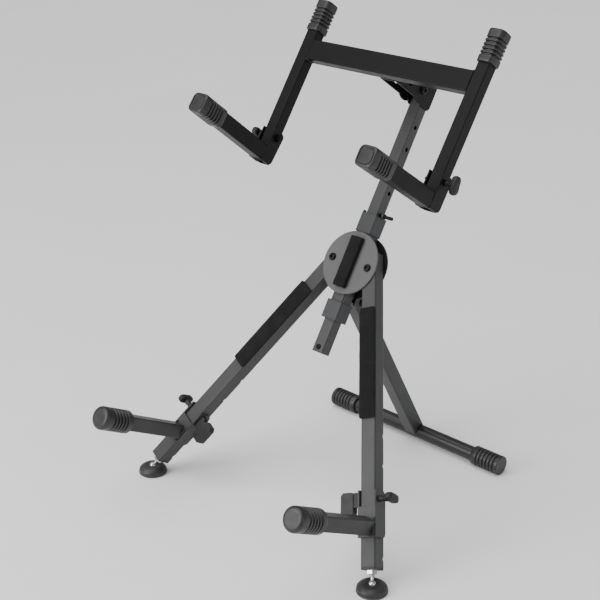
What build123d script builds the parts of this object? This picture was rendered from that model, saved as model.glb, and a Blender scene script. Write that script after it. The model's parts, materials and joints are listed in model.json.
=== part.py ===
from build123d import *
import os
from math import cos, radians, sin, sqrt

# Folding tripod stand with two support tiers. Millimetres, +Z up, -Y is the front.
# Frames used below:
#   hub frame   x across, y backwards, z up the mast, origin at the hub's middle on the front leg face
#   leg frame   the hub frame turned to one front leg, origin at that leg's pivot
#   fork frame  x across, y backwards, z up the fork rails, origin at the tilt pivot
# The right-hand pieces are modelled and the left-hand ones are their mirror images.

# ---- driving dimensions --------------------------------------------------------------------
LEAN = 32.0              # the hub, mast and front legs lean back from the vertical
SPLAY = 25.7             # each front leg from the mast, in the leaning plane

LEG_TUBE = 30.0
LEG_WALL = 1.6
LEG_CORNER = 3.0
LEG_PIVOT_X = 43.0       # leg pivot from the mast's centre line
LEG_TOP = 31.4           # tube above its pivot
LEG_LENGTH = 542.0       # tube below its pivot
LEG_PAD_TOP = 76.0
LEG_PAD = (34.0, 5.0, 205.0)
NOTCH_FIRST = 311.0
NOTCH_PITCH = 54.0
NOTCH_COUNT = 5
NOTCH_RADIUS = 4.5

HUB_RADIUS = 61.5
PLATE = 3.0
GAP = 0.3                # between pieces that move past each other
HUB_PAD = (27.0, 10.2, 99.0)

MAST_TUBE = 25.0
MAST_WALL = 2.0
MAST_CORNER = 2.5
MAST_BOTTOM = -178.0
MAST_TOP = 366.0
MAST_HOLE_RADIUS = 3.9
MAST_HOLE_PITCH = 44.5
MAST_HOLES_BELOW = 1     # holes under the one that the pin is in
MAST_HOLES_ABOVE = 4
COLLAR_SIDE = 36.0
COLLAR_CORNER = 2.5
UPPER_COLLAR = (61.6, 99.0)
LOWER_COLLAR = (-112.0, -76.0)
CHEEK_WALL = 2.7
CHEEK_START = -58.0             # lower end of the guide cheeks between the hub plates
CHEEK_TAIL = (5.0, 22.0)        # y start and depth of the strips that run down to the lower collar
KEEPER = (5.0, 3.0, 3.0)        # the hook on the upper collar: across, up and down again
KEEPER_WIRE = (1.6, 4.0)        # its thickness and its width along y
KEEPER_Y = 6.0

PIN_RADIUS = 3.4
PIN_END = 42.0
PIN_BUSH_RADIUS = 5.5
PIN_BUSH_LENGTH = 5.0

REAR_PIVOT = (54.0, -60.6)      # y and z in the hub frame
REAR_TOP = 13.0
REAR_SADDLE = 6.0               # the rear tube's cut end above the T bar's axis
REAR_EAR_RADIUS = 14.0
REAR_EAR_ROOT = (-28.0, -72.0)  # z range of the ears where they meet the rear plate
T_BAR_Y = 218.0
T_BAR_RADIUS = 15.0
T_BAR_WALL = 1.8
T_BAR_HALF = 217.0
T_CAP_RADIUS = 20.0
T_CAP_LENGTH = 65.0
T_CAP_END = 222.0

FORK_LEAN = 34.0
TILT_PIVOT = (-13.4, 347.0)     # y and z in the hub frame
TILT_BOLT_RADIUS = 5.0
HEAD_RADIUS = 16.0              # head bracket about the tilt bolt
HEAD_FOOT_Z = 320.0
HEAD_BRIDGE = (324.0, 367.0)
RAIL_X = 200.0
RAIL_TUBE = 25.0
RAIL_WALL = 1.6
RAIL_CORNER = 2.5
RAIL_FRONT = -108.0
RAIL_BOTTOM = -233.0
RAIL_TOP = 92.0
CROSSBAR_HEIGHT = 40.0
FORK_CAP_SIDE = 34.0
FORK_CAP_LENGTH = 62.0
FORK_CAP_BEYOND = 7.0
CAP_CORNER = 8.0
YOKE_HALF = 19.0
YOKE_STRIP = 41.0
YOKE_END_RADIUS = 26.0
YOKE_SLOT = (40.0, 20.0)

ARM_TUBE = 30.0
ARM_WALL = 1.6
ARM_CORNER = 3.0
FORK_ARM_Z = -217.5
FORK_ARM_REACH = 303.0          # front of the rubber cap to the fork's origin
FORK_BOLT_Z = -181.0
FORK_BRACKET_TOP = -168.0
FORK_WEB_TOP = -197.0
FORK_KNOB_NECK = 12.0
FORK_KNOB_TURN = {"right": 0.0, "left": 90.0}   # of the wing, from the rail's direction
ARM_CAP_SIDE = 37.0
LEFT_ARM_RAISE = 4.5            # the left fork arm stands this far up from its stop

LOWER_ARM_TUBE = 28.0
LOWER_ARM_LEAN = 28.0           # the arm's rise towards its front end
LOWER_ARM_S = 472.0             # below the leg pivot, measured along the leg
LOWER_ARM_LENGTH = 205.0
LOWER_CAP_RADIUS = 22.5
LOWER_CAP_LENGTH = 70.0
LOWER_CAP_BEYOND = 7.0
LOWER_BOLT = (8.0, -425.0)      # y and z in the leg frame
LOWER_BRACKET = (-492.0, -409.0)
LOWER_WEB_TOP = -438.0
LOWER_KNOB_NECK = 19.0
LOWER_BOLT_END = 19.5           # how far the cross bolt reaches past the bracket, inside the grip
GRIP = (28.0, 14.0, 42.0)       # flat grip on the cross bolt's inner end: along x, y and z
GRIP_DROP = 7.0                 # its centre below the bolt
GRIP_CORNER = 6.0
GRIP_ROOT = (12.0, 11.0, 26.0)  # the narrower block between the grip and the bracket
LOWER_KNOB_TURN = 90.0          # of the wing, from the leg's direction
BRACKET_WALL = 3.0
BRACKET_GAP = 0.4               # between a bracket and the tube that it rides on

BOLT_RADIUS = 4.0
RUNNING = 0.06                  # radial clearance of a bolt in a moving piece
NUT_SIDE = 13.0
NUT_HEIGHT = 6.5
BOLT_BEYOND_NUT = 1.5
KNOB_NECK_RADIUS = 5.5
KNOB_WING = (14.0, 17.0, 35.0)
PIVOT_HEAD = (7.2, 4.2, 5.0)    # button head: radius, height and socket across flats
TILT_HEAD = (8.6, 5.0, 6.0)
TILT_NUT = (17.0, 8.0)
STOP_SCREW = (3.0, 9.0, 5.0, 2.8, 3.0)
STOP_SCREW_Z = 10.0             # above the mast's lower end

STUD_RADIUS = 5.0
BALL_RADIUS = 7.0
BALL_HEIGHT = 14.0              # ball centre above the floor
FOOT_REACH = 28.0               # tube end to ball centre
NECK_RADIUS = 2.6
NECK_LENGTH = 12.0
STUD_LENGTH = 46.0
LOCK_NUT = (17.0, 7.0)
FOOT_RADIUS = 28.0
FOOT_SOLE = 4.0                 # the wider ring at the foot's base
FOOT_LEDGE = 0.8
FOOT_SHOULDER = (21.5, 13.8)    # radius and height of a point on the foot's dome
FOOT_SIDE_TOP = 8.5
FOOT_MOUTH = (10.5, 16.0)
PLUG_THICK = 4.0

BOTTOM = (Align.CENTER, Align.CENTER, Align.MIN)
FRONT_UP = (Align.CENTER, Align.MIN, Align.MIN)

# ---- frames --------------------------------------------------------------------------------
foot_s = LEG_LENGTH + FOOT_REACH
leg_mid = LEG_TUBE / 2
hub_z = BALL_HEIGHT + foot_s * cos(radians(SPLAY)) * cos(radians(LEAN)) + leg_mid * sin(radians(LEAN))
hub_frame = Location((0, 0, hub_z), (-LEAN, 0, 0))
leg_frame = hub_frame * Location((LEG_PIVOT_X, 0, 0), (0, -SPLAY, 0))
fork_frame = hub_frame * Location((0, TILT_PIVOT[0], TILT_PIVOT[1]), (LEAN - FORK_LEAN, 0, 0))
rear_pivot = (hub_frame * Location((0, REAR_PIVOT[0], REAR_PIVOT[1]))).position
t_bar_centre = Vector(0, T_BAR_Y, T_CAP_RADIUS)
rear_run = t_bar_centre - rear_pivot
rear_tilt = rear_run.get_angle(Vector(0, 0, -1))
rear_frame = Location((0, rear_pivot.Y, rear_pivot.Z), (rear_tilt, 0, 0))
ball_centre = (leg_frame * Location((0, leg_mid, -foot_s))).position


# ---- shared shapes -------------------------------------------------------------------------
def square_tube(width, depth, wall, corner, length):
    """Open square tube on the Z axis, from z = 0 upwards."""
    inside = RectangleRounded(width - 2 * wall, depth - 2 * wall, corner - wall)
    return extrude(RectangleRounded(width, depth, corner) - inside, length)


def along_x(radius, start, end):
    """Round bar on the X axis."""
    return Pos(start, 0, 0) * Rot(0, 90, 0) * Cylinder(radius, end - start, align=BOTTOM)


def along_y(radius, start, end):
    """Round bar on the Y axis."""
    return Pos(0, start, 0) * Rot(-90, 0, 0) * Cylinder(radius, end - start, align=BOTTOM)


def hexagon(side_gap, height):
    """Hexagonal prism on the Z axis, side_gap across its flats."""
    return extrude(RegularPolygon(side_gap / 2, 6, major_radius=False), height)


def button_bolt(radius, length, head_radius, head_height, socket):
    """Round-headed bolt: shank up from z = 0, head below it, with a hexagon socket."""
    head = Pos(0, 0, -head_height) * Cylinder(head_radius, head_height, align=BOTTOM)
    head = fillet(head.edges().sort_by(Axis.Z)[0], head_height * 0.7)
    drive = Pos(0, 0, -head_height) * hexagon(socket, head_height * 0.6)
    return head - drive + Cylinder(radius, length, align=BOTTOM)


def nut(side_gap, height, bore):
    """Hexagon nut standing on z = 0."""
    return hexagon(side_gap, height) - Cylinder(bore, height, align=BOTTOM)


def wing_knob(bolt_start, base, neck_length):
    """Wing knob moulded on a cross bolt that lies on the X axis; its neck starts at x = base."""
    depth, width, span = KNOB_WING
    wing = Pos(base + neck_length + depth / 2, 0, 0) * Box(depth, width, span)
    wing = fillet(wing.edges(), depth * 0.38)
    neck = along_x(KNOB_NECK_RADIUS, base, base + neck_length + 1)
    return wing + neck + along_x(BOLT_RADIUS, bolt_start, base)


def rounded_cap(outline, pocket, length, depth, edge):
    """Rubber cap on the Z axis: z = 0 is its mouth, and the tube reaches depth inside."""
    cap = extrude(outline, length)
    cap = fillet(cap.edges().sort_by(Axis.Z)[-1], edge)
    return cap - extrude(pocket, depth)


def u_bracket(inner_half, front, back, bottom, top, web_top):
    """Channel round the front of a tube: two side plates and a front web below web_top."""
    outer_half = inner_half + BRACKET_WALL
    side = extrude(Plane.YZ * bracket_side(front, back, bottom, top), BRACKET_WALL)
    web = Pos(0, front, bottom) * Box(2 * outer_half, BRACKET_WALL, web_top - bottom, align=FRONT_UP)
    return Pos(inner_half, 0, 0) * side + Pos(-outer_half, 0, 0) * side + web


def bracket_side(front, back, bottom, top):
    """Side plate outline in (y, z), with its rear corners rounded."""
    depth = back - front
    height = top - bottom
    plate = Pos(front + depth / 2, bottom + height / 2) * Rectangle(depth, height)
    return fillet(plate.vertices().group_by(Axis.X)[-1], depth * 0.3)


# ---- hub -----------------------------------------------------------------------------------
def hub_plate(front):
    """Round plate with the two leg pivot holes; front is the y of its front face."""
    plate = along_y(HUB_RADIUS, front, front + PLATE)
    plate = chamfer(plate.edges().filter_by(GeomType.CIRCLE), 0.6)
    for side in (-1, 1):
        plate -= Pos(side * LEG_PIVOT_X, 0, 0) * along_y(BOLT_RADIUS, front, front + PLATE)
    return plate


def guide_cheeks():
    """Two plates between the hub plates, one on each side of the mast, that join the collars."""
    depth = LEG_TUBE + 2 * GAP
    upper = Box(CHEEK_WALL, depth, UPPER_COLLAR[0] - CHEEK_START, align=FRONT_UP)
    tail_y, tail_depth = CHEEK_TAIL
    tail = CHEEK_START - LOWER_COLLAR[1]
    lower = Pos(0, tail_y, -tail) * Box(CHEEK_WALL, tail_depth, tail, align=FRONT_UP)
    cheek = Pos(0, -GAP, CHEEK_START) * (upper + lower)
    offset = MAST_TUBE / 2 + GAP + CHEEK_WALL / 2
    return Compound([Pos(offset, 0, 0) * cheek, Pos(-offset, 0, 0) * cheek])


def collar(bottom, top):
    """Square sleeve round the mast."""
    outer = RectangleRounded(COLLAR_SIDE, COLLAR_SIDE, COLLAR_CORNER)
    bore = MAST_TUBE + 2 * GAP
    sleeve = extrude(outer - RectangleRounded(bore, bore, MAST_CORNER), top - bottom)
    return Pos(0, leg_mid, bottom) * sleeve


def upper_collar():
    """Upper sleeve with a small keeper hook on its top left edge."""
    across, stem, tip = KEEPER
    thick, width = KEEPER_WIRE
    edge = -COLLAR_SIDE / 2
    height = UPPER_COLLAR[1]
    foot = Pos(edge + thick / 2, KEEPER_Y, height) * Box(thick, width, stem, align=BOTTOM)
    arm = Pos(edge + thick - across / 2, KEEPER_Y, height + stem) * Box(across, width, thick, align=BOTTOM)
    lip = Box(thick, width, tip, align=BOTTOM)
    lip = Pos(edge + 1.5 * thick - across, KEEPER_Y, height + stem - tip) * lip
    return collar(*UPPER_COLLAR) + foot + arm + lip


def rear_ears():
    """Two ears on the back of the rear plate that hold the rear leg's bolt."""
    back = LEG_TUBE + GAP + PLATE
    y, z = REAR_PIVOT
    root_top, root_bottom = REAR_EAR_ROOT
    tangent = REAR_EAR_RADIUS / sqrt(2)
    corners = ((back, root_top), (back, root_bottom), (y, z - REAR_EAR_RADIUS), (y + tangent, z + tangent))
    base = Polygon(*corners, align=None)
    outline = base + Pos(y, z) * Circle(REAR_EAR_RADIUS) - Pos(y, z) * Circle(BOLT_RADIUS)
    ear = extrude(Plane.YZ * outline, PLATE)
    inner = leg_mid + GAP
    return Compound([Pos(inner, 0, 0) * ear, Pos(-inner - PLATE, 0, 0) * ear])


def leg_pivot_bolts():
    front = -GAP - PLATE
    length = LEG_TUBE + 2 * GAP + 2 * PLATE + NUT_HEIGHT + BOLT_BEYOND_NUT
    bolt = Rot(-90, 0, 0) * button_bolt(BOLT_RADIUS, length, *PIVOT_HEAD)
    return Compound([Pos(side * LEG_PIVOT_X, front, 0) * bolt for side in (-1, 1)])


def leg_pivot_nuts():
    back = LEG_TUBE + GAP + PLATE
    one = Rot(-90, 0, 0) * nut(NUT_SIDE, NUT_HEIGHT, BOLT_RADIUS)
    return Compound([Pos(side * LEG_PIVOT_X, back, 0) * one for side in (-1, 1)])


def cross_bolt(radius, outer_half, head, nut_height):
    """Bolt on the X axis with its head on the right."""
    bolt = button_bolt(radius, 2 * outer_half + nut_height + BOLT_BEYOND_NUT, *head)
    return Pos(outer_half, 0, 0) * Rot(0, -90, 0) * bolt


def cross_nut(outer_half, side_gap, height, bore):
    """Nut on the left end of a cross bolt."""
    return Pos(-outer_half, 0, 0) * Rot(0, -90, 0) * nut(side_gap, height, bore)


def hub_pad():
    pad = Box(*HUB_PAD, align=(Align.CENTER, Align.MAX, Align.CENTER))
    return Pos(0, -GAP - PLATE, 0) * pad


# ---- front legs ----------------------------------------------------------------------------
def leg_tube():
    """Leg tube in the leg frame, with pivot holes and adjusting notches in its rear edge."""
    tube = square_tube(LEG_TUBE, LEG_TUBE, LEG_WALL, LEG_CORNER, LEG_TOP + LEG_LENGTH)
    tube = Pos(0, leg_mid, -LEG_LENGTH) * tube
    tube -= along_y(BOLT_RADIUS + RUNNING, 0, LEG_TUBE)
    tube -= Pos(0, *LOWER_BOLT) * along_x(BOLT_RADIUS + RUNNING, -leg_mid, leg_mid)
    for step in range(NOTCH_COUNT):
        height = -NOTCH_FIRST - step * NOTCH_PITCH
        tube -= Pos(0, LEG_TUBE, height) * along_x(NOTCH_RADIUS, -leg_mid, leg_mid)
    return tube


def leg_pad():
    pad = Box(*LEG_PAD, align=(Align.CENTER, Align.MAX, Align.MAX))
    return Pos(0, 0, -LEG_PAD_TOP) * pad


def leg_plug():
    """Threaded plate that closes the leg's lower end."""
    plate = extrude(RectangleRounded(LEG_TUBE, LEG_TUBE, LEG_CORNER), PLUG_THICK)
    plate -= Cylinder(STUD_RADIUS + RUNNING, PLUG_THICK, align=BOTTOM)
    return Pos(0, leg_mid, -LEG_LENGTH - PLUG_THICK) * plate


def foot_screw():
    """Levelling screw: threaded stud, a narrow neck and the ball."""
    neck = Cylinder(NECK_RADIUS, NECK_LENGTH, align=BOTTOM)
    stud = Pos(0, 0, NECK_LENGTH) * Cylinder(STUD_RADIUS, STUD_LENGTH, align=BOTTOM)
    return Pos(0, leg_mid, -foot_s) * (Sphere(BALL_RADIUS) + neck + stud)


def foot_lock_nut():
    """Nut that locks the levelling screw against the plug."""
    side, height = LOCK_NUT
    one = nut(side, height, STUD_RADIUS + RUNNING)
    return Pos(0, leg_mid, -LEG_LENGTH - PLUG_THICK - height) * one


def foot_pad():
    """Domed foot with a ball socket, upright on the floor under the ball."""
    side = FOOT_RADIUS - FOOT_LEDGE
    dome = make_face(
        Polyline((0, FOOT_SOLE), (side, FOOT_SOLE), (side, FOOT_SIDE_TOP))
        + ThreePointArc((side, FOOT_SIDE_TOP), FOOT_SHOULDER, FOOT_MOUTH)
        + Polyline(FOOT_MOUTH, (0, FOOT_MOUTH[1]), (0, FOOT_SOLE))
    )
    sole = chamfer(Cylinder(FOOT_RADIUS, FOOT_SOLE, align=BOTTOM).edges().sort_by(Axis.Z)[0], FOOT_LEDGE)
    socket = Pos(0, 0, BALL_HEIGHT) * Sphere(BALL_RADIUS + RUNNING)
    foot = revolve(Plane.XZ * dome, Axis.Z) + sole - socket
    return Pos(ball_centre.X, ball_centre.Y, 0) * foot


# ---- lower arms ----------------------------------------------------------------------------
def lower_bracket():
    """Channel that carries a lower arm and turns on its cross bolt."""
    bottom, top = LOWER_BRACKET
    inner = leg_mid + BRACKET_GAP
    bracket = u_bracket(inner, -BRACKET_GAP - BRACKET_WALL, LEG_TUBE - 1, bottom, top, LOWER_WEB_TOP)
    outer = inner + BRACKET_WALL
    return bracket - Pos(0, *LOWER_BOLT) * along_x(BOLT_RADIUS + RUNNING, -outer, outer)


def lower_arm_frame():
    """Frame of a lower arm: z runs out along the arm, x stays level."""
    root = leg_frame * Location((0, -BRACKET_GAP - BRACKET_WALL, -LOWER_ARM_S))
    return Location(root.position) * Location((0, 0, 0), (90 - LOWER_ARM_LEAN, 0, 0))


def lower_arm():
    """Arm tube, cut flat at its root against the bracket's web."""
    side = LOWER_ARM_TUBE
    run_in = side
    tube = Pos(0, 0, -run_in) * square_tube(side, side, ARM_WALL, ARM_CORNER, LOWER_ARM_LENGTH + run_in)
    placed = lower_arm_frame() * tube
    size = 3 * LEG_TUBE
    behind = Box(size, size, size, align=(Align.CENTER, Align.MIN, Align.CENTER))
    return placed - leg_frame * Pos(0, -BRACKET_GAP - BRACKET_WALL, -LOWER_ARM_S) * behind


def lower_cap():
    start = LOWER_ARM_LENGTH + LOWER_CAP_BEYOND - LOWER_CAP_LENGTH
    pocket = RectangleRounded(LOWER_ARM_TUBE, LOWER_ARM_TUBE, ARM_CORNER)
    depth = LOWER_CAP_LENGTH - LOWER_CAP_BEYOND
    cap = rounded_cap(Circle(LOWER_CAP_RADIUS), pocket, LOWER_CAP_LENGTH, depth, 3.0)
    return lower_arm_frame() * Pos(0, 0, start) * cap


def lower_grip():
    """Flat grip nut with cut corners, on the inner end of the lower cross bolt."""
    face = -(leg_mid + BRACKET_GAP + BRACKET_WALL)
    width, depth, height = GRIP
    root, root_depth, root_height = GRIP_ROOT
    head = Box(width, depth, height, align=(Align.MAX, Align.CENTER, Align.CENTER))
    head = chamfer(head.edges().filter_by(Axis.Y), GRIP_CORNER)
    head = chamfer(head.edges().filter_by(Axis.Z), 1.5)
    neck = Box(root, root_depth, root_height, align=(Align.MAX, Align.CENTER, Align.CENTER))
    grip = Pos(face - root, 0, -GRIP_DROP) * head + Pos(face, 0, 0) * neck
    bore = along_x(BOLT_RADIUS + RUNNING, face - LOWER_BOLT_END - 0.5, face)
    return Pos(0, *LOWER_BOLT) * (grip - bore)


def lower_knob():
    outer = leg_mid + BRACKET_GAP + BRACKET_WALL
    knob = wing_knob(-outer - LOWER_BOLT_END, outer + GAP, LOWER_KNOB_NECK)
    return Pos(0, *LOWER_BOLT) * Rot(LOWER_KNOB_TURN, 0, 0) * knob


# ---- rear leg ------------------------------------------------------------------------------
def rear_tube():
    """Rear leg, saddled on the T bar at its lower end."""
    run = rear_run.length
    end = REAR_SADDLE - run
    tube = Pos(0, 0, end) * square_tube(LEG_TUBE, LEG_TUBE, LEG_WALL, LEG_CORNER, REAR_TOP - end)
    tube -= along_x(BOLT_RADIUS + RUNNING, -leg_mid, leg_mid)
    return tube - Pos(0, 0, -run) * along_x(T_BAR_RADIUS, -leg_mid - 1, leg_mid + 1)


def t_bar():
    bar = along_x(T_BAR_RADIUS, -T_BAR_HALF, T_BAR_HALF)
    bore = T_BAR_RADIUS - T_BAR_WALL
    return bar - along_x(bore, -T_BAR_HALF, T_BAR_HALF)


def t_cap():
    """Rubber cap on the right end of the T bar, in the bar's own frame."""
    start = T_CAP_END - T_CAP_LENGTH
    cap = rounded_cap(Circle(T_CAP_RADIUS), Circle(T_BAR_RADIUS), T_CAP_LENGTH, T_BAR_HALF - start, 2.5)
    return Pos(start, 0, 0) * Rot(0, 90, 0) * cap


# ---- mast ----------------------------------------------------------------------------------
def pin_height():
    return UPPER_COLLAR[1] + PIN_RADIUS + 0.3


def mast_tube():
    tube = square_tube(MAST_TUBE, MAST_TUBE, MAST_WALL, MAST_CORNER, MAST_TOP - MAST_BOTTOM)
    tube = Pos(0, leg_mid, MAST_BOTTOM) * tube
    for step in range(-MAST_HOLES_BELOW, MAST_HOLES_ABOVE + 1):
        height = pin_height() + step * MAST_HOLE_PITCH
        tube -= Pos(0, leg_mid, height) * along_x(MAST_HOLE_RADIUS, -MAST_TUBE / 2, MAST_TUBE / 2)
    return tube - Pos(0, 0, MAST_BOTTOM + STOP_SCREW_Z) * along_y(STOP_SCREW[0], 0, leg_mid)


def mast_screw():
    """Stop screw in the mast's front face, which meets the lower collar when the mast is raised."""
    front = leg_mid - MAST_TUBE / 2
    return Pos(0, front, MAST_BOTTOM + STOP_SCREW_Z) * Rot(-90, 0, 0) * button_bolt(*STOP_SCREW)


def head_bracket():
    """Two plates and a bridge on the mast's top that carry the tilt bolt."""
    y, z = TILT_PIVOT
    back = leg_mid + MAST_TUBE / 2
    nose = y - HEAD_RADIUS + 1
    heel = leg_mid - MAST_TUBE / 2 - 0.5
    corners = ((back, z + 24), (nose, z + 14), (nose, z - 2), (heel, HEAD_FOOT_Z), (back, HEAD_FOOT_Z))
    outline = Polygon(*corners, align=None)
    outline += Pos(y, z) * Circle(HEAD_RADIUS)
    outline -= Pos(y, z) * Circle(TILT_BOLT_RADIUS)
    side = extrude(Plane.YZ * outline, PLATE)
    inner = MAST_TUBE / 2
    low, high = HEAD_BRIDGE
    bridge = Pos(0, back, low) * Box(2 * inner + 2 * PLATE, PLATE, high - low, align=FRONT_UP)
    return Pos(inner, 0, 0) * side + Pos(-inner - PLATE, 0, 0) * side + bridge


def pull_pin():
    """Pull pin drawn back from the mast, level with the row of holes."""
    rod = along_x(PIN_RADIUS, MAST_TUBE / 2 + GAP, PIN_END)
    rod = chamfer(rod.edges().filter_by(GeomType.CIRCLE), 0.8)
    return Pos(0, leg_mid, pin_height()) * rod


def pin_bush():
    """Short sleeve on the upper collar's right side that the pin slides in."""
    start = COLLAR_SIDE / 2
    sleeve = along_x(PIN_BUSH_RADIUS, start, start + PIN_BUSH_LENGTH)
    sleeve -= along_x(PIN_RADIUS + RUNNING, start, start + PIN_BUSH_LENGTH)
    return Pos(0, leg_mid, pin_height()) * sleeve


# ---- fork ----------------------------------------------------------------------------------
def rail():
    """Right fork rail in the fork frame, open at its lower end."""
    tube = square_tube(RAIL_TUBE, RAIL_TUBE, RAIL_WALL, RAIL_CORNER, RAIL_TOP - RAIL_BOTTOM)
    middle = RAIL_FRONT + RAIL_TUBE / 2
    tube = Pos(0, middle, RAIL_BOTTOM) * tube
    tube -= Pos(0, middle, FORK_BOLT_Z) * along_x(BOLT_RADIUS + RUNNING, -RAIL_TUBE / 2, RAIL_TUBE / 2)
    return Pos(RAIL_X, 0, 0) * tube


def crossbar():
    length = 2 * RAIL_X - RAIL_TUBE
    tube = square_tube(CROSSBAR_HEIGHT, RAIL_TUBE, RAIL_WALL, ARM_CORNER, length)
    return Pos(-length / 2, RAIL_FRONT + RAIL_TUBE / 2, 0) * Rot(0, 90, 0) * tube


def yoke_outline():
    """Cheek of the yoke in (y, z): a slotted strip with a round end about the tilt bolt."""
    front = RAIL_FRONT + RAIL_TUBE
    strip = Pos(front / 2, 0) * Rectangle(-front, YOKE_STRIP)
    slot = Pos(front / 2 - 11, 0) * RectangleRounded(YOKE_SLOT[0], YOKE_SLOT[1], 6)
    return strip + Circle(YOKE_END_RADIUS) - slot - Circle(TILT_BOLT_RADIUS + RUNNING)


def tilt_yoke():
    """U-shaped bracket from the crossbar back to the tilt bolt."""
    front = RAIL_FRONT + RAIL_TUBE
    cheek = extrude(Plane.YZ * yoke_outline(), PLATE)
    web = Box(2 * YOKE_HALF, PLATE, YOKE_STRIP, align=(Align.CENTER, Align.MIN, Align.CENTER))
    return Pos(YOKE_HALF - PLATE, 0, 0) * cheek + Pos(-YOKE_HALF, 0, 0) * cheek + Pos(0, front, 0) * web


def rail_cap():
    start = RAIL_TOP + FORK_CAP_BEYOND - FORK_CAP_LENGTH
    pocket = RectangleRounded(RAIL_TUBE, RAIL_TUBE, RAIL_CORNER)
    outline = RectangleRounded(FORK_CAP_SIDE, FORK_CAP_SIDE, CAP_CORNER)
    cap = rounded_cap(outline, pocket, FORK_CAP_LENGTH, RAIL_TOP - start, 3.0)
    return Pos(RAIL_X, RAIL_FRONT + RAIL_TUBE / 2, start) * cap


def fork_bracket():
    """Channel that carries a fork arm and turns on its cross bolt."""
    inner = RAIL_TUBE / 2 + BRACKET_GAP
    front = RAIL_FRONT - BRACKET_GAP - BRACKET_WALL
    back = RAIL_FRONT + RAIL_TUBE + 3
    bracket = u_bracket(inner, front, back, RAIL_BOTTOM, FORK_BRACKET_TOP, FORK_WEB_TOP)
    outer = inner + BRACKET_WALL
    hole = Pos(0, RAIL_FRONT + RAIL_TUBE / 2, FORK_BOLT_Z) * along_x(BOLT_RADIUS + RUNNING, -outer, outer)
    return Pos(RAIL_X, 0, 0) * (bracket - hole)


def fork_arm():
    """Arm tube welded to the bracket's web."""
    root = RAIL_FRONT - BRACKET_GAP - BRACKET_WALL
    length = FORK_ARM_REACH - FORK_CAP_BEYOND + root
    tube = square_tube(ARM_TUBE, ARM_TUBE, ARM_WALL, ARM_CORNER, length)
    return Pos(RAIL_X, root, FORK_ARM_Z) * Rot(90, 0, 0) * tube


def fork_arm_cap():
    depth = FORK_CAP_LENGTH - FORK_CAP_BEYOND
    pocket = RectangleRounded(ARM_TUBE, ARM_TUBE, ARM_CORNER)
    outline = RectangleRounded(ARM_CAP_SIDE, ARM_CAP_SIDE, CAP_CORNER)
    cap = rounded_cap(outline, pocket, FORK_CAP_LENGTH, depth, 3.0)
    return Pos(RAIL_X, FORK_CAP_LENGTH - FORK_ARM_REACH, FORK_ARM_Z) * Rot(90, 0, 0) * cap


def fork_nut():
    """Nut welded inside the bracket's inner plate."""
    outer = RAIL_TUBE / 2 + BRACKET_GAP + BRACKET_WALL
    one = cross_nut(outer, NUT_SIDE, NUT_HEIGHT, BOLT_RADIUS + RUNNING)
    return Pos(RAIL_X, RAIL_FRONT + RAIL_TUBE / 2, FORK_BOLT_Z) * one


def fork_knob(turn):
    outer = RAIL_TUBE / 2 + BRACKET_GAP + BRACKET_WALL
    knob = wing_knob(-outer - NUT_HEIGHT - 5, outer + GAP, FORK_KNOB_NECK)
    return Pos(RAIL_X, RAIL_FRONT + RAIL_TUBE / 2, FORK_BOLT_Z) * Rot(turn, 0, 0) * knob


# ---- assembly ------------------------------------------------------------------------------
def left_and_right(name, shape):
    """The right-hand piece and its mirror image, under their own names."""
    return {"right_" + name: shape, "left_" + name: mirror(shape, about=Plane.YZ)}


def raised(shape):
    """A left fork arm piece, turned up about the cross bolt."""
    bolt = fork_frame * Pos(0, RAIL_FRONT + RAIL_TUBE / 2, FORK_BOLT_Z)
    return bolt * Rot(-LEFT_ARM_RAISE, 0, 0) * bolt.inverse() * shape


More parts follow.
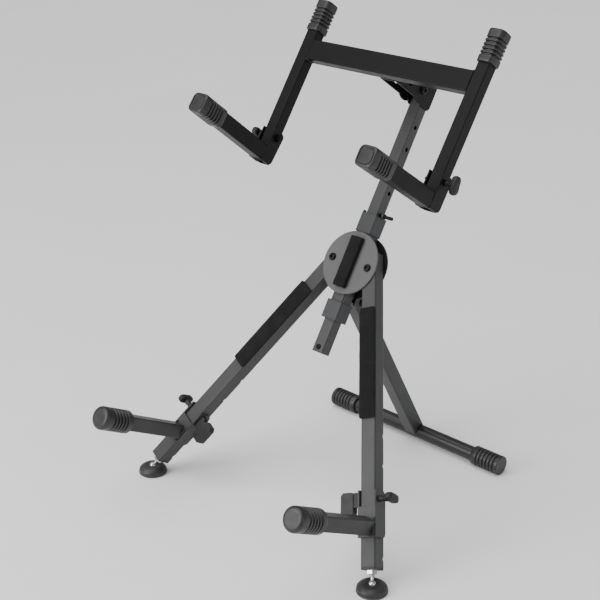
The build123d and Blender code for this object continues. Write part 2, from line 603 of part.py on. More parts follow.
def assemble():
    """Every piece by node name, about the hub's own centre line, standing on z = 0."""
    ear_half = leg_mid + GAP + PLATE
    tilt_place = hub_frame * Pos(0, *TILT_PIVOT)
    rear_place = hub_frame * Pos(0, *REAR_PIVOT)
    bar_place = Pos(t_bar_centre)
    pieces = {
        "hub_front_plate": hub_frame * hub_plate(-GAP - PLATE),
        "hub_rear_plate": hub_frame * hub_plate(LEG_TUBE + GAP),
        "hub_guide_cheeks": hub_frame * guide_cheeks(),
        "upper_collar": hub_frame * upper_collar(),
        "lower_collar": hub_frame * collar(*LOWER_COLLAR),
        "rear_leg_ears": hub_frame * rear_ears(),
        "leg_pivot_bolts": hub_frame * leg_pivot_bolts(),
        "leg_pivot_nuts": hub_frame * leg_pivot_nuts(),
        "hub_pad": hub_frame * hub_pad(),
        "rear_pivot_bolt": rear_place * cross_bolt(BOLT_RADIUS, ear_half, PIVOT_HEAD, NUT_HEIGHT),
        "rear_pivot_nut": rear_place * cross_nut(ear_half, NUT_SIDE, NUT_HEIGHT, BOLT_RADIUS),
        "rear_leg_tube": rear_frame * rear_tube(),
        "rear_t_bar": bar_place * t_bar(),
        "mast_tube": hub_frame * mast_tube(),
        "mast_stop_screw": hub_frame * mast_screw(),
        "mast_head_bracket": hub_frame * head_bracket(),
        "tilt_bolt": tilt_place * cross_bolt(TILT_BOLT_RADIUS, YOKE_HALF + GAP, TILT_HEAD, TILT_NUT[1]),
        "tilt_nut": tilt_place * cross_nut(YOKE_HALF + GAP, *TILT_NUT, TILT_BOLT_RADIUS),
        "height_pin": hub_frame * pull_pin(),
        "height_pin_bush": hub_frame * pin_bush(),
        "fork_crossbar": fork_frame * crossbar(),
        "fork_yoke": fork_frame * tilt_yoke(),
    }
    pairs = {
        "leg_tube": leg_frame * leg_tube(),
        "leg_pad": leg_frame * leg_pad(),
        "leg_plug": leg_frame * leg_plug(),
        "foot_screw": leg_frame * foot_screw(),
        "foot_lock_nut": leg_frame * foot_lock_nut(),
        "foot_pad": foot_pad(),
        "lower_bracket": leg_frame * lower_bracket(),
        "lower_arm_tube": lower_arm(),
        "lower_arm_cap": lower_cap(),
        "lower_grip_nut": leg_frame * lower_grip(),
        "lower_knob": leg_frame * lower_knob(),
        "t_bar_cap": bar_place * t_cap(),
        "fork_rail": fork_frame * rail(),
        "fork_rail_cap": fork_frame * rail_cap(),
        "fork_bracket": fork_frame * fork_bracket(),
        "fork_arm_tube": fork_frame * fork_arm(),
        "fork_arm_cap": fork_frame * fork_arm_cap(),
        "fork_bracket_nut": fork_frame * fork_nut(),
        "fork_knob": fork_frame * fork_knob(FORK_KNOB_TURN["right"]),
    }
    for name, shape in pairs.items():
        pieces.update(left_and_right(name, shape))
    pieces["left_fork_knob"] = mirror(fork_frame * fork_knob(FORK_KNOB_TURN["left"]), about=Plane.YZ)
    for name in ("fork_bracket", "fork_arm_tube", "fork_arm_cap", "fork_bracket_nut", "fork_knob"):
        pieces["left_" + name] = raised(pieces["left_" + name])
    return pieces


pieces = assemble()
whole = Compound(list(pieces.values())).bounding_box()
to_origin = Pos(-whole.center().X, -whole.center().Y, -whole.min.Z)

os.makedirs("parts", exist_ok=True)
for name, shape in pieces.items():
    export_step(to_origin * shape, "parts/" + name + ".step")
print("origin shift", to_origin.position, "size", whole.size)
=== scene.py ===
import json
from math import copysign, cos, pi, radians, sin

import bmesh
import bpy
from mathutils import Matrix, Vector, noise


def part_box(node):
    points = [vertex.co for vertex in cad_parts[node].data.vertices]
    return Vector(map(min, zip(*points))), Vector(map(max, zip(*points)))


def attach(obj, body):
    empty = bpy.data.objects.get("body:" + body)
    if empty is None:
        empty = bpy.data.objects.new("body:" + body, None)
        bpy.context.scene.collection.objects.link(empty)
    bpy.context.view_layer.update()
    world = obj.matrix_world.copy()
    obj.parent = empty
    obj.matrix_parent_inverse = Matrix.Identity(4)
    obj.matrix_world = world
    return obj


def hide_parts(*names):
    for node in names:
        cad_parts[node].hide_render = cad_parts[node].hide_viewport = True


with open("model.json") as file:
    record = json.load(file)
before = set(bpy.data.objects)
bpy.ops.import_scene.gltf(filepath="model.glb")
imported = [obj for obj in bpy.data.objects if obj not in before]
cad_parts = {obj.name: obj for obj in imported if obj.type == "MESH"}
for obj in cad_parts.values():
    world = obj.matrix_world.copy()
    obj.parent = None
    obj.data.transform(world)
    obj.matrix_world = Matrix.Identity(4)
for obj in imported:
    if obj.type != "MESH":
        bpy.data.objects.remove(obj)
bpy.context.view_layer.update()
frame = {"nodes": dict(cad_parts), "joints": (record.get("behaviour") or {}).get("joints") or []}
nodes = frame["nodes"]
joints = {j["name"]: j for j in frame["joints"]}

# Folding tripod stand with two support tiers. Metres and degrees, +Z up, -Y is the front.
# Tubes, plates, brackets and feet keep their CAD shape and get a finish. Rubber caps, foam pads,
# knobs, cross bolts and levelling screws are built here in finer shape, and weld beads are added.
# The left-hand pieces are mirror images of the right-hand ones.

# ---- driving dimensions ----------------------------------------------------------------------
LEAN = 32.0               # hub, mast and front legs lean back from the vertical
SPLAY = 25.7              # each front leg from the mast, in the leaning plane
LEG_PIVOT_X = 0.043       # leg pivot from the mast's centre line
LEG_HALF = 0.015          # half the leg tube's side
LEG_PAD_TOP = -0.076
LEG_PAD = (0.034, 0.005, 0.205)
HUB_PAD_TOP = (0, -0.0033, 0.0495)
HUB_PAD = (0.027, 0.0102, 0.099)

FORK_LEAN = 34.0
RAIL_X = 0.200            # fork rail from the stand's middle
RAIL_HALF = 0.0125
RAIL_FRONT = -0.108
RAIL_MID_Y = RAIL_FRONT + RAIL_HALF
RAIL_CAP_TOP = 0.099
RAIL_CAP_HALF = 0.017
CROSSBAR_EDGE = 0.0196    # crossbar's upper and lower weld from its middle
ARM_Z = -0.2175
ARM_REACH = 0.303         # front of the arm's rubber cap from the fork's origin
ARM_HALF = 0.015
ARM_CAP_HALF = 0.0185
LEFT_ARM_RAISE = 4.5      # the left fork arm stands this far up from its stop
SQUARE_CAP_LENGTH = 0.062
SQUARE_CAP_CORNER = 0.0095

LOWER_ARM_LEAN = 28.0     # the arm's rise towards its front end
LOWER_ARM_S = 0.472       # below the leg pivot, measured along the leg
LOWER_ARM_LENGTH = 0.205
LOWER_ARM_HALF = 0.014
LOWER_CAP_BEYOND = 0.007
T_BAR_RADIUS = 0.015
T_CAP_END = 0.222

BRACKET_FACE = 0.0034     # a bracket's outer face from the face of the tube in it
BOLT_RADIUS = 0.004
BOLT_HEIGHT = -0.181      # fork arm's cross bolt, in the fork's frame
LOWER_BOLT = (0, 0.008, -0.425)
LOWER_BOLT_END = 0.0195   # how far the lower cross bolt reaches past its bracket
FORK_BOLT_END = 0.0115
KNOB_CLEAR = 0.0003       # between a knob and its bracket
LOWER_KNOB_NECK = 0.019
FORK_KNOB_NECK = 0.012
LOWER_KNOB_TURN = {"right": 82.0, "left": 98.0}
FORK_KNOB_TURN = {"right": 14.0, "left": 84.0}
KNOB_WING = (0.014, 0.017, 0.035)

BALL_RADIUS = 0.007
NECK_RADIUS = 0.0026
NECK_END = 0.0118
STUD_RADIUS = 0.005
STUD_END = 0.058

TUBE_CORNER = 0.003       # rounding of the square tubes' corners
CORNER_STEPS = 12         # steps round one corner of a square outline
BEAD_RISE = 0.0006        # a weld bead's middle in front of the face it lies on
SIDES = ("right", "left")


def turn_x(degrees):
    return Matrix.Rotation(radians(degrees), 4, "X")


def turn_y(degrees):
    return Matrix.Rotation(radians(degrees), 4, "Y")


def shift(x, y, z):
    return Matrix.Translation((x, y, z))


def joint_place(name):
    return Vector(joints[name]["pos_m"])


# ---- frames of the right-hand sub-parts at rest ----------------------------------------------
hub_turn = turn_x(-LEAN)
hub_origin = joint_place("right_leg_fold") - hub_turn @ Vector((LEG_PIVOT_X, LEG_HALF, 0))
HUB = Matrix.Translation(hub_origin) @ hub_turn
LEG = HUB @ shift(LEG_PIVOT_X, 0, 0) @ turn_y(-SPLAY)
FORK = Matrix.Translation(joint_place("fork_tilt")) @ turn_x(-FORK_LEAN)
fork_bolt = FORK @ shift(RAIL_X, RAIL_MID_Y, BOLT_HEIGHT)
FORK_ARM = {"right": FORK, "left": fork_bolt @ turn_x(-LEFT_ARM_RAISE) @ fork_bolt.inverted() @ FORK}
arm_root = LEG @ Vector((0, -BRACKET_FACE, -LOWER_ARM_S))
LOWER_ARM = Matrix.Translation(arm_root) @ turn_x(90 - LOWER_ARM_LEAN)
bar_low, bar_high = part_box("rear_t_bar")
T_BAR = Matrix.Translation((Vector(bar_low) + Vector(bar_high)) / 2)
LEG_FOOT = Matrix.Translation(joint_place("right_foot_swivel")) @ LEG.to_3x3().to_4x4()
MIRROR = Matrix.Scale(-1, 4, (1, 0, 0))


# ---- shader helpers --------------------------------------------------------------------------
class Shader:
    """A material's node tree with short ways to add what the finishes share."""

    def __init__(self, name):
        self.material = bpy.data.materials.new(name)
        self.material.use_nodes = True
        self.tree = self.material.node_tree
        self.bsdf = self.tree.nodes["Principled BSDF"]
        self.coords = self.tree.nodes.new("ShaderNodeTexCoord").outputs["Object"]

    def node(self, kind, **values):
        made = self.tree.nodes.new(kind)
        for key, value in values.items():
            setattr(made, key, value)
        return made

    def link(self, source, target):
        self.tree.links.new(source, target)

    def feed(self, source, name):
        """Links source to the surface's input of that name."""
        self.link(source, self.bsdf.inputs[name])

    def set(self, **values):
        for key, value in values.items():
            self.bsdf.inputs[key.replace("_", " ")].default_value = value

    def noise(self, scale, detail=3.0):
        made = self.node("ShaderNodeTexNoise")
        made.inputs["Scale"].default_value = scale
        made.inputs["Detail"].default_value = detail
        made.inputs["Roughness"].default_value = 0.55
        self.link(self.coords, made.inputs["Vector"])
        return made.outputs["Fac"]

    def cells(self, scale):
        made = self.node("ShaderNodeTexVoronoi")
        made.inputs["Scale"].default_value = scale
        self.link(self.coords, made.inputs["Vector"])
        return made.outputs["Distance"]

    def ramp(self, source, low, high, start=0.0, end=1.0):
        made = self.node("ShaderNodeMapRange")
        made.inputs["From Min"].default_value = low
        made.inputs["From Max"].default_value = high
        made.inputs["To Min"].default_value = start
        made.inputs["To Max"].default_value = end
        self.link(source, made.inputs["Value"])
        return made.outputs["Result"]

    def mottle(self, scale, detail=3.0, start=0.0, end=1.0):
        """Soft patches between start and end."""
        return self.ramp(self.noise(scale, detail), 0.3, 0.7, start, end)

    def math(self, operation, first, second):
        made = self.node("ShaderNodeMath", operation=operation)
        for socket, value in zip(made.inputs, (first, second)):
            if isinstance(value, (int, float)):
                socket.default_value = value
            else:
                self.link(value, socket)
        return made.outputs[0]

    def mix(self, factor, first, second):
        made = self.node("ShaderNodeMix", data_type="RGBA")
        self.link(factor, made.inputs[0])
        for socket, value in ((made.inputs[6], first), (made.inputs[7], second)):
            if isinstance(value, tuple):
                socket.default_value = value
            else:
                self.link(value, socket)
        return made.outputs[2]

    def bevel(self, radius):
        """The normal, rounded over edges by radius."""
        made = self.node("ShaderNodeBevel", samples=4)
        made.inputs["Radius"].default_value = radius
        return made.outputs["Normal"]

    def edges(self, radius):
        """1 on edges and 0 on flat faces."""
        geometry = self.node("ShaderNodeNewGeometry")
        dot = self.node("ShaderNodeVectorMath", operation="DOT_PRODUCT")
        self.link(self.bevel(radius), dot.inputs[0])
        self.link(geometry.outputs["Normal"], dot.inputs[1])
        return self.ramp(dot.outputs["Value"], 0.995, 0.86)

    def shade_in_hollows(self, distance):
        """1 in narrow grooves and 0 on open faces: the mask for painted shade."""
        made = self.node("ShaderNodeAmbientOcclusion", samples=4)
        made.inputs["Distance"].default_value = distance
        return self.ramp(made.outputs["AO"], 0.92, 0.6)

    def bump(self, height, strength, distance, rounding=0.0):
        made = self.node("ShaderNodeBump")
        made.inputs["Strength"].default_value = strength
        made.inputs["Distance"].default_value = distance
        self.link(height, made.inputs["Height"])
        if rounding:
            self.link(self.bevel(rounding), made.inputs["Normal"])
        self.feed(made.outputs["Normal"], "Normal")


def colour(value, warm=0.0):
    return (value * (1 + warm), value, value * (1 - warm), 1.0)


# ---- finishes --------------------------------------------------------------------------------
def paint(name, value, rough, wear, tone=0.0, shine=0.3):
    """Powder-coated steel: fine pebbled coat, uneven tone, painted shade darkening the edges, rubbed
    pale in places.
    """
    s = Shader(name)
    fine = s.noise(900.0, 2.0)
    base = s.mix(s.mottle(9.0, 4.0), colour(value * 0.86, tone), colour(value * 1.14, tone))
    flecks = s.ramp(fine, 0.56, 0.78, 0.0, 0.25)
    base = s.mix(flecks, base, colour(value * 2.2 + 0.01, tone))
    edge = s.edges(0.0022)
    # painted shade: the edges are darkened to stand in for the shade on the rounded corners
    base = s.mix(s.math("MULTIPLY", edge, 0.85), base, colour(value * 0.15, tone))
    rub = s.math("MULTIPLY", edge, s.ramp(s.noise(60.0), 0.60, 0.72, 0.0, wear))
    s.feed(s.mix(rub, base, colour(value * 1.8 + 0.07, tone)), "Base Color")
    s.feed(s.ramp(s.noise(35.0, 5.0), 0.25, 0.75, rough - 0.05, rough + 0.07), "Roughness")
    s.set(Specular_IOR_Level=shine)
    s.bump(fine, 0.16, 0.0002, rounding=0.0008)
    return s.material


def moulded(name, value, rough, grain=700.0, lift=0.14, dust=0.3, shine=0.3, rim_highlight=0.025):
    """Moulded rubber or plastic: fine grain, dusty specks, painted shade in the grooves, painted
    highlight on the edges.
    """
    s = Shader(name)
    base = s.mix(s.mottle(22.0, 4.0), colour(value * 0.84), colour(value * 1.16))
    specks = s.ramp(s.noise(260.0, 3.0), 0.6, 0.76, 0.0, dust)
    base = s.mix(specks, base, colour(value * 1.7 + 0.02))
    # painted shade: grooves and recesses darkened where little light reaches
    base = s.mix(s.shade_in_hollows(0.005), base, colour(value * 0.12))
    # painted highlight: edges and rib rims lightened as if they caught the light
    edge = s.math("MULTIPLY", s.edges(0.0009), 0.7)
    s.feed(s.mix(edge, base, colour(value * 1.6 + rim_highlight)), "Base Color")
    s.feed(s.mottle(70.0, 4.0, rough - 0.06, rough + 0.08), "Roughness")
    s.set(Specular_IOR_Level=shine)
    s.bump(s.noise(grain, 3.0), lift, 0.0003, rounding=0.0006)
    return s.material


def foam(name, value):
    """Closed-cell foam rubber: pin-prick cells and a dull bloom."""
    s = Shader(name)
    cells = s.cells(1100.0)
    base = s.mix(s.ramp(cells, 0.1, 0.5), colour(value * 0.7), colour(value * 1.25))
    smudge = s.ramp(s.noise(28.0, 5.0), 0.45, 0.72, 0.0, 0.45)
    s.feed(s.mix(smudge, base, colour(value * 1.5 + 0.006)), "Base Color")
    s.feed(s.mottle(120.0, start=0.82, end=0.97), "Roughness")
    s.set(Sheen_Weight=0.04, Sheen_Roughness=0.6, Specular_IOR_Level=0.1)
    s.bump(s.math("ADD", cells, s.noise(340.0)), 0.35, 0.0005)
    return s.material


def plated(name, value, rough):
    """Bright zinc or dark oxide on steel, slightly uneven."""
    s = Shader(name)
    s.feed(s.mix(s.mottle(60.0, 4.0), colour(value * 0.88), colour(value * 1.08)), "Base Color")
    s.feed(s.mottle(240.0, 3.0, rough - 0.04, rough + 0.1), "Roughness")
    s.set(Metallic=1.0)
    s.bump(s.noise(1500.0, 2.0), 0.08, 0.0001, rounding=0.0004)
    return s.material


def weld_metal(name):
    """Paint over a weld bead, uneven and shinier than the flat paint."""
    s = Shader(name)
    s.feed(s.mix(s.ramp(s.cells(700.0), 0.1, 0.55), colour(0.05), colour(0.012)), "Base Color")
    s.feed(s.mottle(300.0, start=0.18, end=0.45), "Roughness")
    s.bump(s.math("ADD", s.cells(420.0), s.noise(700.0)), 0.6, 0.0006)
    return s.material


def foot_finish(name):
    """Black moulded foot over a greyer rubber sole."""
    s = Shader(name)
    height = s.node("ShaderNodeSeparateXYZ")
    s.link(s.coords, height.inputs[0])
    sole = s.ramp(height.outputs["Z"], 0.0045, 0.0036)
    grain = s.noise(500.0, 3.0)
    upper = s.mix(s.mottle(30.0, 4.0), colour(0.022), colour(0.034))
    lower = s.mix(s.ramp(grain, 0.3, 0.7), colour(0.05), colour(0.08))
    s.feed(s.mix(sole, upper, lower), "Base Color")
    s.feed(s.ramp(sole, 0.0, 1.0, 0.42, 0.75), "Roughness")
    s.set(Specular_IOR_Level=0.35)
    s.bump(grain, 0.08, 0.0002, rounding=0.0008)
    return s.material


finish = {
    "legs": paint("legs_paint", 0.040, 0.42, wear=0.5),
    "hub": paint("hub_paint", 0.085, 0.45, wear=0.35),
    "mast": paint("mast_paint", 0.043, 0.38, wear=0.35),
    "collar": paint("collar_paint", 0.038, 0.42, wear=0.4, tone=-0.03),
    "bar": paint("bar_paint", 0.012, 0.32, wear=0.45, shine=0.4),
    "fork": paint("fork_paint", 0.0055, 0.42, wear=0.45, shine=0.16),
    "arm": paint("arm_paint", 0.033, 0.44, wear=0.45),
    # the rubber caps get a stronger painted highlight on their edges and rib rims
    "rubber": moulded("cap_rubber", 0.012, 0.40, lift=0.09, dust=0.2, shine=0.5, rim_highlight=0.09),
    "plastic": moulded("knob_plastic", 0.016, 0.45, grain=1100.0, lift=0.12),
    "plug": moulded("plug_plastic", 0.03, 0.5),
    "foam": foam("pad_foam", 0.007),
    "zinc": plated("bright_zinc", 0.6, 0.16),
    "oxide": plated("black_oxide", 0.02, 0.34),
    "weld": weld_metal("weld_bead"),
    "foot": foot_finish("foot_finish"),
}


# ---- mesh helpers ----------------------------------------------------------------------------
def finish_piece(name, bm, place, body, key, replaced=(), sharp=35.0):
    """Makes an object from bm, puts it in its place and ties it to its body."""
    if name.startswith("left_"):
        place = MIRROR @ place
    bmesh.ops.transform(bm, matrix=place, verts=bm.verts)
    bmesh.ops.remove_doubles(bm, verts=bm.verts, dist=1e-6)
    bmesh.ops.recalc_face_normals(bm, faces=bm.faces)
    mesh = bpy.data.meshes.new(name)
    bm.to_mesh(mesh)
    bm.free()
    mesh.shade_smooth()
    mesh.set_sharp_from_angle(angle=radians(sharp))
    mesh.materials.append(finish[key])
    piece = bpy.data.objects.new(name, mesh)
    bpy.context.scene.collection.objects.link(piece)
    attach(piece, body)
    if replaced:
        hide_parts(*replaced)
    return piece


def loft(rings):
    """Skin through rings of equal length; the ends are closed with a fan."""
    bm = bmesh.new()
    loops = [[bm.verts.new(point) for point in ring] for ring in rings]
    count = len(loops[0])
    for low, high in zip(loops, loops[1:]):
        for i in range(count):
            j = (i + 1) % count
            bm.faces.new((low[i], low[j], high[j], high[i]))
    for loop in (loops[0], loops[-1]):
        middle = bm.verts.new(sum((v.co for v in loop), Vector()) / count)
        for i in range(count):
            bm.faces.new((loop[i], loop[(i + 1) % count], middle))
    return bm


def round_outline(radius, steps):
    return [(radius * cos(2 * pi * i / steps), radius * sin(2 * pi * i / steps)) for i in range(steps)]


def square_outline(half, corner):
    """Rounded square as a ring of points, the same number for every size."""
    corner = min(corner, half * 0.98)
    flat = half - corner
    points = []
    for quarter in range(4):
        cx = flat * (1 if quarter in (0, 3) else -1)
        cy = flat * (1 if quarter in (0, 1) else -1)
        for i in range(CORNER_STEPS + 1):
            angle = (pi / 2) * (quarter + i / CORNER_STEPS)
            points.append((cx + corner * cos(angle), cy + corner * sin(angle)))
    return points


def swollen(value, power):
    """cos or sin raised to a power with its sign kept, for outlines fuller than an ellipse."""
    return copysign(abs(value) ** power, value)


def ring_at(outline, height):
    return [Vector((x, y, height)) for x, y in outline]


def lathe(profile, steps=48):
    """Turned shape about Z from (radius, height) pairs."""
    return loft([ring_at(round_outline(radius, steps), height) for radius, height in profile])


def lying(bm):
    """Turns a shape about Z to lie along X."""
    bmesh.ops.rotate(bm, verts=bm.verts, cent=(0, 0, 0), matrix=Matrix.Rotation(pi / 2, 3, "Y"))
    return bm


def join(target, other):
    """Adds other's geometry to target."""
    mesh = bpy.data.meshes.new("joined")
    other.to_mesh(mesh)
    other.free()
    target.from_mesh(mesh)
    bpy.data.meshes.remove(mesh)
    return target


# ---- rubber caps -----------------------------------------------------------------------------
# (place across one rib's pitch, share of the groove's depth)
GROOVE = ((0.0, 0.0), (0.10, 0.25), (0.20, 0.9), (0.30, 1.0), (0.42, 0.9), (0.52, 0.25), (0.62, 0.0))
# (inset, depth) pairs over the end face: a groove round a panel, or a slight dome
PANEL_FACE = ((0.0008, 0.0), (0.0011, 0.0014), (0.0018, 0.0018), (0.0026, 0.0013), (0.0030, 0.0001),
              (0.0070, -0.0002))
DOMED_FACE = ((0.003, 0.0), (0.008, 0.0002), (0.013, 0.0003))
MOUTH = ((0.0, 0.0016), (0.0005, 0.0006), (0.0016, 0.0))
MOUTH_DEPTH = 0.012


def ribbed_profile(length, ribs_from, ribs_to, ribs, groove, tip_round):
    """(height, inset) pairs along a cap from its mouth to its tip."""
    rows = list(MOUTH)
    pitch = (ribs_to - ribs_from) / ribs
    for i in range(ribs):
        for part, depth in GROOVE:
            rows.append((ribs_from + (i + part) * pitch, groove * depth))
    for i in range(7):
        angle = (pi / 2) * i / 6
        rows.append((length - tip_round + tip_round * sin(angle), tip_round * (1 - cos(angle))))
    return rows


def ribbed_cap(outline, inner, profile, face):
    """Cap along Z: inner is the tube outline it grips, outline(inset) its own."""
    rings = [ring_at(inner, MOUTH_DEPTH), ring_at(inner, 0.0)]
    rings += [ring_at(outline(inset), height) for height, inset in profile]
    top, edge = profile[-1]
    rings += [ring_at(outline(edge + inset), top - drop) for inset, drop in face]
    return loft(rings)


def square_cap(half, tube_half):
    def outline(inset):
        return square_outline(half - inset, SQUARE_CAP_CORNER - 0.3 * min(inset, 0.006))

    profile = ribbed_profile(SQUARE_CAP_LENGTH, 0.0120, 0.0490, 5, 0.0030, 0.0028)
    return ribbed_cap(outline, square_outline(tube_half, TUBE_CORNER), profile, PANEL_FACE)


def round_cap(radius, inner, profile):
    def outline(inset):
        return round_outline(radius - inset, len(inner))

    return ribbed_cap(outline, inner, profile, DOMED_FACE)


def fork_caps(side):
    """Square caps on the upper end of the rail and the front end of the arm."""
    place = FORK @ shift(RAIL_X, RAIL_MID_Y, RAIL_CAP_TOP - SQUARE_CAP_LENGTH)
    finish_piece(side + "_rail_cap_ribbed", square_cap(RAIL_CAP_HALF, RAIL_HALF), place, "fork",
                 "rubber", (side + "_fork_rail_cap",))
    place = FORK_ARM[side] @ shift(RAIL_X, SQUARE_CAP_LENGTH - ARM_REACH, ARM_Z) @ turn_x(90)
    finish_piece(side + "_arm_cap_ribbed", square_cap(ARM_CAP_HALF, ARM_HALF), place,
                 side + "_fork_arm", "rubber", (side + "_fork_arm_cap",))


def lower_arm_cap(side):
    """Round cap on the front end of the lower arm's square tube."""
    length = 0.070
    inner = square_outline(LOWER_ARM_HALF, TUBE_CORNER)
    # start half a corner earlier
    half_corner = CORNER_STEPS // 2 + 1
    inner = inner[-half_corner:] + inner[:-half_corner]
    cap = round_cap(0.0225, inner, ribbed_profile(length, 0.013, 0.053, 5, 0.0033, 0.0070))
    place = LOWER_ARM @ shift(0, 0, LOWER_ARM_LENGTH + LOWER_CAP_BEYOND - length)
    finish_piece(side + "_lower_cap_ribbed", cap, place, side + "_lower_arm", "rubber",
                 (side + "_lower_arm_cap",))


def t_bar_cap(side):
    """Round cap on one end of the T bar, ribbed nearly all the way."""
    length = 0.065
    inner = round_outline(T_BAR_RADIUS, 52)
    cap = round_cap(0.020, inner, ribbed_profile(length, 0.012, 0.061, 6, 0.0029, 0.0016))
    place = T_BAR @ shift(T_CAP_END - length, 0, 0) @ turn_y(90)
    finish_piece(side + "_bar_cap_ribbed", cap, place, "rear_leg", "rubber", (side + "_t_bar_cap",))


# ---- foam pads -------------------------------------------------------------------------------
def foam_strip(width, thick, length, crown):
    """Foam strip lying in y < 0 with its back on y = 0, its top at z = 0."""
    rows, steps = 90, 40
    pinched = 0.003     # the cut ends draw in over this length
    rings = []
    for row in range(rows + 1):
        along = row / rows
        z = -length * along
        end = min(along, 1 - along) * length
        squeeze = 1 - 0.10 * max(0.0, 1 - end / pinched) ** 2
        ring = []
        for step in range(steps):
            angle = 2 * pi * step / steps
            c, s = cos(angle), sin(angle)
            x = width / 2 * squeeze * swollen(c, 0.28)
            depth = swollen(s, 0.30)
            front = thick * (1 - crown * (x / (width / 2)) ** 4)
            reach = thick / 2 if depth < 0 else front - thick / 2
            y = -thick / 2 - depth * reach * (0.92 + 0.08 * squeeze)
            grain = noise.noise(Vector((x, y, z)) * 90) * 0.00022 if depth > 0 else 0.0
            edge = noise.noise(Vector((0.0, 4.0 * (1 if c >= 0 else -1), z * 60))) * 0.00035
            ring.append(Vector((x + edge * abs(c), min(y - grain, -0.00002), z)))
        rings.append(ring)
    return loft(rings)


def foam_pad(name, size, crown, place, body, replaced):
    pad = finish_piece(name, foam_strip(*size, crown), place, body, "foam", (replaced,), sharp=50)


# ---- knobs and screws ------------------------------------------------------------------------
def wing(depth, width, span):
    """Rounded wing of a knob: x is its depth, z its span, waisted towards the middle."""
    rows, steps = 26, 36
    rings = []
    for row in range(rows + 1):
        t = -1 + 2 * row / rows
        swell = (1 - abs(t) ** 5.0) ** 0.5 if abs(t) < 1 else 0.0
        waist = 1 - 0.10 * (1 - min(abs(t) * 1.6, 1.0)) ** 2
        half_depth = depth / 2 * max(swell, 0.02) * waist
        half_width = width / 2 * max(swell, 0.02) * (0.80 + 0.20 * (1 - t * t))
        z = span / 2 * t * (1 - 0.02 * (1 - swell))
        ring = []
        for x, y in round_outline(1.0, steps):
            ring.append(Vector((half_depth * swollen(x, 0.6), half_width * swollen(y, 0.6), z)))
        rings.append(ring)
    return loft(rings)


def thread_profile(radius, start, end, pitch, depth):
    rows = [(radius - depth, start)]
    height = start
    while height + pitch < end:
        rows += [(radius - depth, height + pitch * 0.15), (radius, height + pitch * 0.45),
                 (radius, height + pitch * 0.6), (radius - depth, height + pitch * 0.9)]
        height += pitch
    rows.append((radius - depth, end))
    return rows


def knob(base, neck):
    """Wing, shoulder and recessed end of a knob whose neck starts at x = base."""
    depth, width, span = KNOB_WING
    bm = wing(depth, width, span)
    bmesh.ops.translate(bm, verts=bm.verts, vec=(base + neck + depth / 2, 0, 0))
    shoulder = [(0.0042, base), (0.0056, base + 0.0006),
                (0.0056, base + neck * 0.30), (0.0049, base + neck * 0.42),
                (0.0049, base + neck * 0.55), (0.0056, base + neck * 0.68),
                (0.0066, base + neck + 0.001), (0.0066, base + neck + 0.004)]
    join(bm, lying(lathe(shoulder)))
    top = base + neck + depth
    rim = [(0.0052, top - 0.0022), (0.0052, top - 0.0006), (0.0044, top - 0.0001),
           (0.0036, top - 0.0004), (0.0033, top - 0.0016), (0.0012, top - 0.0019)]
    return join(bm, lying(lathe(rim, 32)))


def lower_knob(side):
    """Wing knob of the lower arm and its plain cross bolt."""
    outer = LEG_HALF + BRACKET_FACE
    place = LEG @ shift(*LOWER_BOLT)
    body = side + "_lower_knob"
    turned = place @ turn_x(LOWER_KNOB_TURN[side])
    finish_piece(body + "_wing", knob(outer + KNOB_CLEAR, LOWER_KNOB_NECK), turned, body, "plastic")
    shank = [(BOLT_RADIUS, -outer - LOWER_BOLT_END), (BOLT_RADIUS, outer + KNOB_CLEAR)]
    finish_piece(body + "_shank", lying(lathe(shank)), place, body, "oxide", (body,))


def fork_knob(side):
    """Wing knob of the fork arm and its cross bolt, threaded past the bracket."""
    outer = RAIL_HALF + BRACKET_FACE
    place = FORK_ARM[side] @ shift(RAIL_X, RAIL_MID_Y, BOLT_HEIGHT)
    body = side + "_fork_knob"
    turned = place @ turn_x(FORK_KNOB_TURN[side])
    finish_piece(body + "_wing", knob(outer + KNOB_CLEAR, FORK_KNOB_NECK), turned, body, "plastic")
    tip = -outer - FORK_BOLT_END
    shank = [(0.0026, tip), (0.0034, tip + 0.0007)]
    shank += thread_profile(BOLT_RADIUS, tip + 0.001, -outer, 0.00125, 0.0006)
    shank += [(0.00395, -outer + 0.0002), (0.00395, outer + KNOB_CLEAR)]
    finish_piece(body + "_shank", lying(lathe(shank, 32)), place, body, "oxide", (body,))


def foot_screw(side):
    """Levelling screw: ball, neck and threaded stud."""
    screw = [(1e-5, -BALL_RADIUS)]
    for i in range(1, 11):
        angle = pi * i / 12
        screw.append((BALL_RADIUS * sin(angle), -BALL_RADIUS * cos(angle)))
    screw += [(NECK_RADIUS, 0.0066), (NECK_RADIUS, NECK_END), (0.0042, NECK_END + 0.0003)]
    screw += thread_profile(STUD_RADIUS, NECK_END + 0.0007, STUD_END - 0.001, 0.0015, 0.0007)
    screw.append((0.0036, STUD_END))
    finish_piece(side + "_foot_screw_thread", lathe(screw, 40), LEG_FOOT, side + "_foot_screw",
                 "zinc", (side + "_foot_screw",))


# ---- weld beads ------------------------------------------------------------------------------
def bead(path, radius, seed):
    """Weld bead along a path of points, rippled and uneven."""
    steps = 10
    rings = []
    last = len(path) - 1
    for i, point in enumerate(path):
        along = (path[min(i + 1, last)] - path[max(i - 1, 0)]).normalized()
        side = along.orthogonal().normalized()
        other = along.cross(side)
        ripple = 1 + 0.22 * sin(i * 1.9) + 0.35 * noise.noise(point * 260 + Vector((seed, 0, 0)))
        taper = 0.35 if i in (0, last) else 1.0
        ring = []
        for step in range(steps):
            angle = 2 * pi * step / steps
            swell = 1 + 0.25 * noise.noise(point * 400 + Vector((step, seed, 0)))
            push = radius * ripple * taper * swell
            ring.append(point + (side * cos(angle) + other * sin(angle)) * push)
        rings.append(ring)
    return loft(rings)


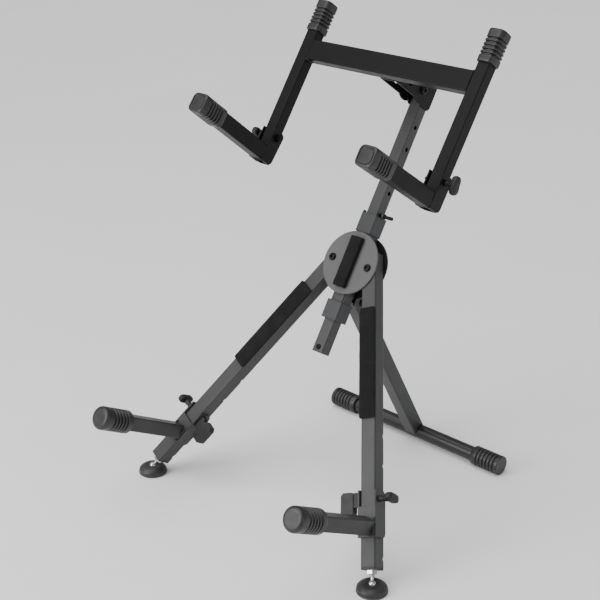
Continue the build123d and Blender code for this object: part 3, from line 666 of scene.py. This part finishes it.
def bead_pair(offset, start, end, steps, radius, seed):
    """Two weld beads from start to end, moved by offset one way and the other."""
    pair = []
    for way in (1, -1):
        low, high = (Vector(point) + Vector(offset) * way for point in (start, end))
        pair.append([low.lerp(high, i / steps) for i in range(steps + 1)])
    return join(bead(pair[0], radius, seed), bead(pair[1], radius, seed + 1))


def welds(side):
    """Beads where the fork arm and the lower arm meet their brackets, and crossbar meets rail."""
    beads = bead_pair((0.0135, 0, 0), (0, 0, -0.0125), (0, 0, 0.0125), 26, 0.0016, 1)
    place = FORK_ARM[side] @ shift(RAIL_X, RAIL_FRONT - BRACKET_FACE - BEAD_RISE, ARM_Z)
    finish_piece(side + "_arm_weld", beads, place, side + "_fork_arm", "weld")
    beads = bead_pair((0.0145, 0, 0), (0, 0, -0.015), (0, 0, 0.014), 30, 0.0019, 3)
    place = LEG @ shift(0, -BRACKET_FACE - 2 * BEAD_RISE, -LOWER_ARM_S)
    finish_piece(side + "_lower_weld", beads, place, side + "_lower_arm", "weld")
    beads = bead_pair((0, 0, CROSSBAR_EDGE), (0, -0.012, 0), (0, 0.012, 0), 24, 0.0013, 5)
    place = FORK @ shift(RAIL_X - RAIL_HALF - BEAD_RISE, RAIL_MID_Y, 0)
    finish_piece(side + "_crossbar_weld", beads, place, "fork", "weld")


# ---- pieces ----------------------------------------------------------------------------------
for side in SIDES:
    fork_caps(side)
    lower_arm_cap(side)
    t_bar_cap(side)
    foam_pad(side + "_leg_foam", LEG_PAD, 0.22, LEG @ shift(0, 0, LEG_PAD_TOP), side + "_leg",
             side + "_leg_pad")
    lower_knob(side)
    fork_knob(side)
    foot_screw(side)
    welds(side)
foam_pad("hub_foam", HUB_PAD, 0.05, HUB @ shift(*HUB_PAD_TOP), "hub", "hub_pad")


# ---- finishes of the CAD nodes that stay -----------------------------------------------------
def both(*names):
    return tuple(side + "_" + name for name in names for side in SIDES)


REPAINT = {
    "legs": both("leg_tube", "lower_bracket") + ("rear_leg_tube",),
    "bar": ("rear_t_bar", "hub_rear_plate"),
    "hub": ("hub_front_plate",),
    "mast": ("mast_tube",),
    "collar": ("upper_collar", "lower_collar", "hub_guide_cheeks", "rear_leg_ears", "height_pin_bush"),
    "fork": both("fork_rail", "fork_bracket", "fork_arm_tube")
            + ("fork_crossbar", "fork_yoke", "mast_head_bracket"),
    "arm": both("lower_arm_tube"),
    "oxide": both("fork_bracket_nut")
             + ("leg_pivot_bolts", "leg_pivot_nuts", "rear_pivot_bolt", "rear_pivot_nut",
                "tilt_bolt", "tilt_nut", "mast_stop_screw", "height_pin"),
    "plastic": both("lower_grip_nut"),
    "plug": both("leg_plug"),
    "zinc": both("foot_lock_nut"),
    "foot": both("foot_pad"),
}
for key, names in REPAINT.items():
    for name in names:
        mesh = nodes[name].data
        mesh.materials.clear()
        mesh.materials.append(finish[key])

# ---- floor and world -------------------------------------------------------------------------
backdrop = Shader("floor")
backdrop.feed(backdrop.mix(backdrop.mottle(1.5), colour(0.89), colour(0.92)), "Base Color")
backdrop.set(Roughness=0.9)
bm = bmesh.new()
bmesh.ops.create_grid(bm, x_segments=8, y_segments=8, size=9.0)
floor_mesh = bpy.data.meshes.new("floor")
bm.to_mesh(floor_mesh)
bm.free()
floor_mesh.materials.append(backdrop.material)
floor = bpy.data.objects.new("floor", floor_mesh)
floor.location.z = -0.0002
bpy.context.scene.collection.objects.link(floor)

world = bpy.data.worlds.new("studio")
world.use_nodes = True
sky = world.node_tree.nodes["Background"]
sky.inputs["Color"].default_value = (0.95, 0.96, 1.0, 1.0)
sky.inputs["Strength"].default_value = 0.42
bpy.context.scene.world = world


# ---- lights and camera -----------------------------------------------------------------------
def add_object(name, data):
    made = bpy.data.objects.new(name, data)
    bpy.context.scene.collection.objects.link(made)
    return made


def area_light(name, place, target, size, power):
    lamp = bpy.data.lights.new(name, "AREA")
    lamp.shape = "RECTANGLE"
    lamp.size, lamp.size_y = size
    lamp.energy = power
    made = add_object(name, lamp)
    made.location = place
    made.rotation_euler = (Vector(target) - Vector(place)).to_track_quat("-Z", "Y").to_euler()


middle = (0, 0, 0.45)
area_light("key", (-1.0, -2.9, 1.5), middle, (2.0, 1.6), 75)
area_light("side", (2.9, -0.4, 1.2), middle, (1.2, 1.8), 14)
overhead = bpy.data.lights.new("overhead", "SUN")
overhead.energy = 2.3
overhead.angle = radians(60)
towards_light = Vector((-0.35, -0.75, 2.0))
add_object("overhead", overhead).rotation_euler = towards_light.to_track_quat("Z", "Y").to_euler()

AZIMUTH, ELEVATION, ROLL = radians(43.46), radians(22.84), radians(0.3)
DISTANCE = 2.3715
AIM = Vector((-0.0499, 0.0085, 0.3930))
back = Vector((cos(ELEVATION) * sin(AZIMUTH), -cos(ELEVATION) * cos(AZIMUTH), sin(ELEVATION)))
right = Vector((cos(AZIMUTH), sin(AZIMUTH), 0))
up = back.cross(right)
level_right = right * cos(ROLL) + up * sin(ROLL)
level_up = up * cos(ROLL) - right * sin(ROLL)
camera = add_object("camera", bpy.data.cameras.new("camera"))
camera.data.lens = 76.13
camera.data.sensor_width = 36.0
turn = Matrix((level_right, level_up, back)).transposed().to_4x4()
camera.matrix_world = Matrix.Translation(AIM + back * DISTANCE) @ turn
bpy.context.scene.camera = camera
